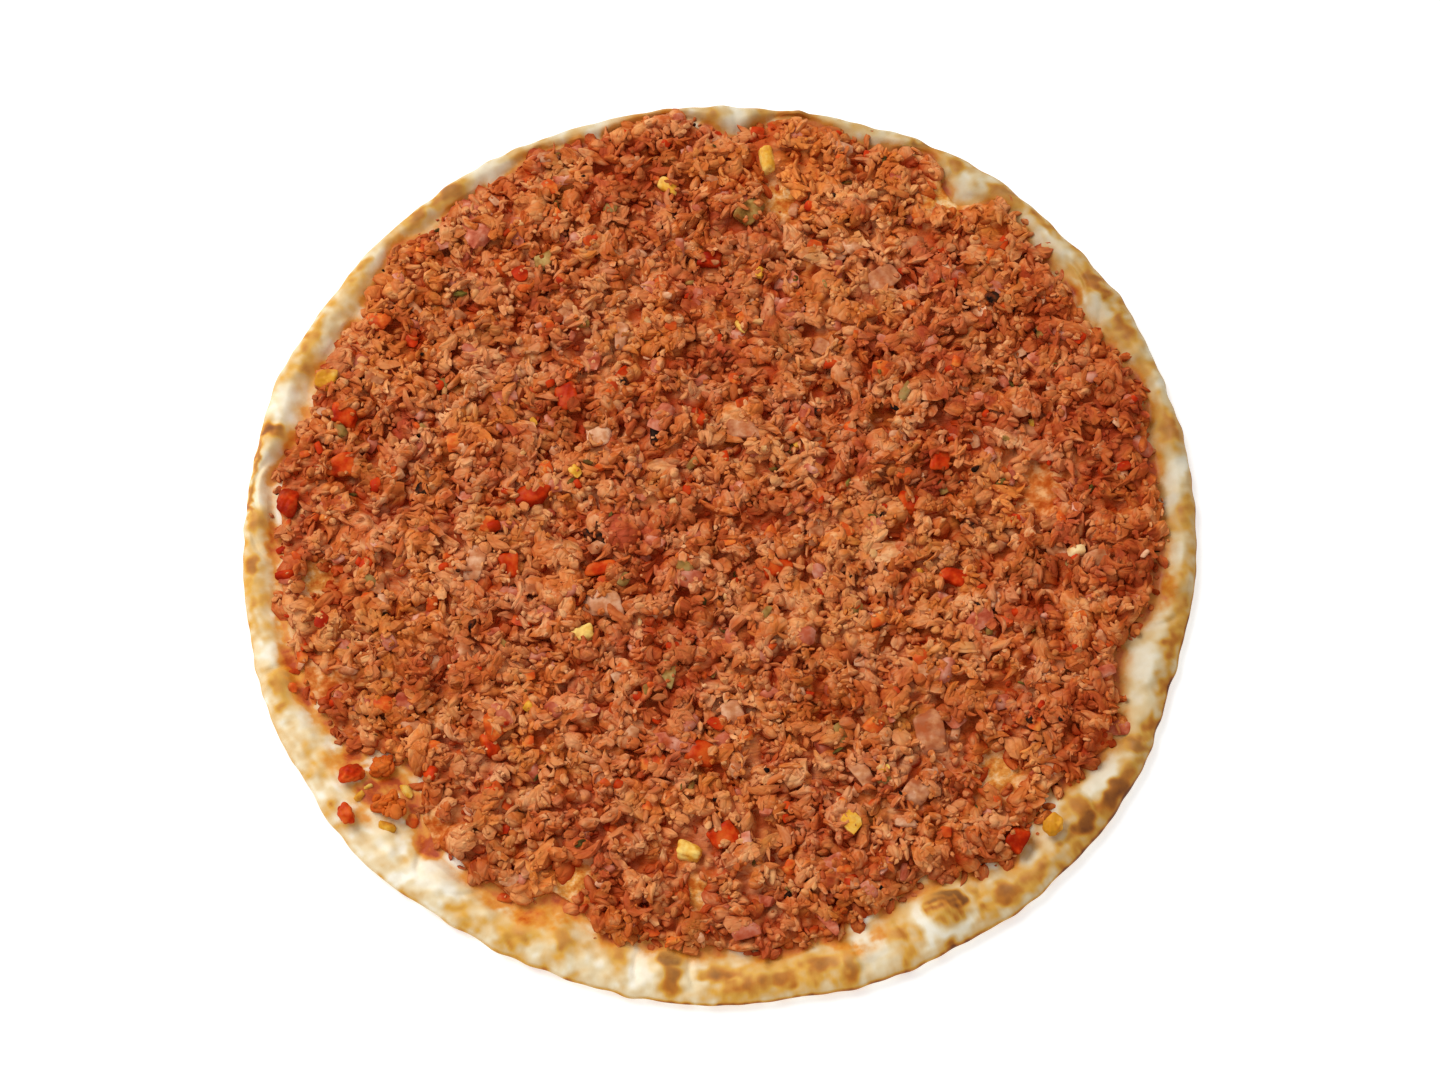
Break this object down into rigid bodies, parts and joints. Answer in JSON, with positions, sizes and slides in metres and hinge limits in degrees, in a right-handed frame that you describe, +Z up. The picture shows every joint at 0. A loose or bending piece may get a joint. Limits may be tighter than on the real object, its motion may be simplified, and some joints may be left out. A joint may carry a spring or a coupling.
{
  "type": "lahmacun",
  "caption": "Thin round flatbread with a raised, blistered rim, baked under a ragged layer of minced meat with diced peppers and onion.",
  "frame": {"origin": "middle of the flat underside of the bread", "axes": "+Z up through the topping; X and Y lie in the flat of the bread, with the widest stretch of bare rim at -Y and the narrowest at +Y"},
  "size_m": [0.2806, 0.2811, 0.0097],
  "materials": {
    "baked_dough": "dry baked dough, cream with brown blisters",
    "minced_meat": "crumbly baked mince, slightly oily",
    "red_pepper": "wet, glossy cut pepper",
    "yellow_pepper": "wet, glossy cut pepper",
    "green_pepper": "wilted, oily cut pepper",
    "onion": "soft, translucent cooked onion"
  },
  "bodies": {
    "root": {"flatbread": "baked_dough", "mince_layer": "minced_meat", "red_pepper_01": "red_pepper", "red_pepper_02": "red_pepper", "red_pepper_03": "red_pepper", "red_pepper_04": "red_pepper", "red_pepper_05": "red_pepper", "red_pepper_06": "red_pepper", "red_pepper_07": "red_pepper", "red_pepper_08": "red_pepper", "red_pepper_09": "red_pepper", "red_pepper_10": "red_pepper", "red_pepper_11": "red_pepper", "red_pepper_12": "red_pepper", "red_pepper_13": "red_pepper", "red_pepper_14": "red_pepper", "red_pepper_15": "red_pepper", "red_pepper_16": "red_pepper", "red_pepper_17": "red_pepper", "red_pepper_18": "red_pepper", "yellow_pepper_01": "yellow_pepper", "yellow_pepper_02": "yellow_pepper", "yellow_pepper_03": "yellow_pepper", "yellow_pepper_04": "yellow_pepper", "yellow_pepper_05": "yellow_pepper", "yellow_pepper_06": "yellow_pepper", "green_pepper_01": "green_pepper", "green_pepper_02": "green_pepper", "green_pepper_03": "green_pepper", "onion_01": "onion", "onion_02": "onion", "onion_03": "onion", "onion_04": "onion", "onion_05": "onion", "onion_06": "onion", "onion_07": "onion", "onion_08": "onion", "onion_09": "onion", "onion_10": "onion", "onion_11": "onion", "onion_12": "onion", "mince_scrap_01": "minced_meat", "mince_scrap_02": "minced_meat"}
  },
  "joints": []
}
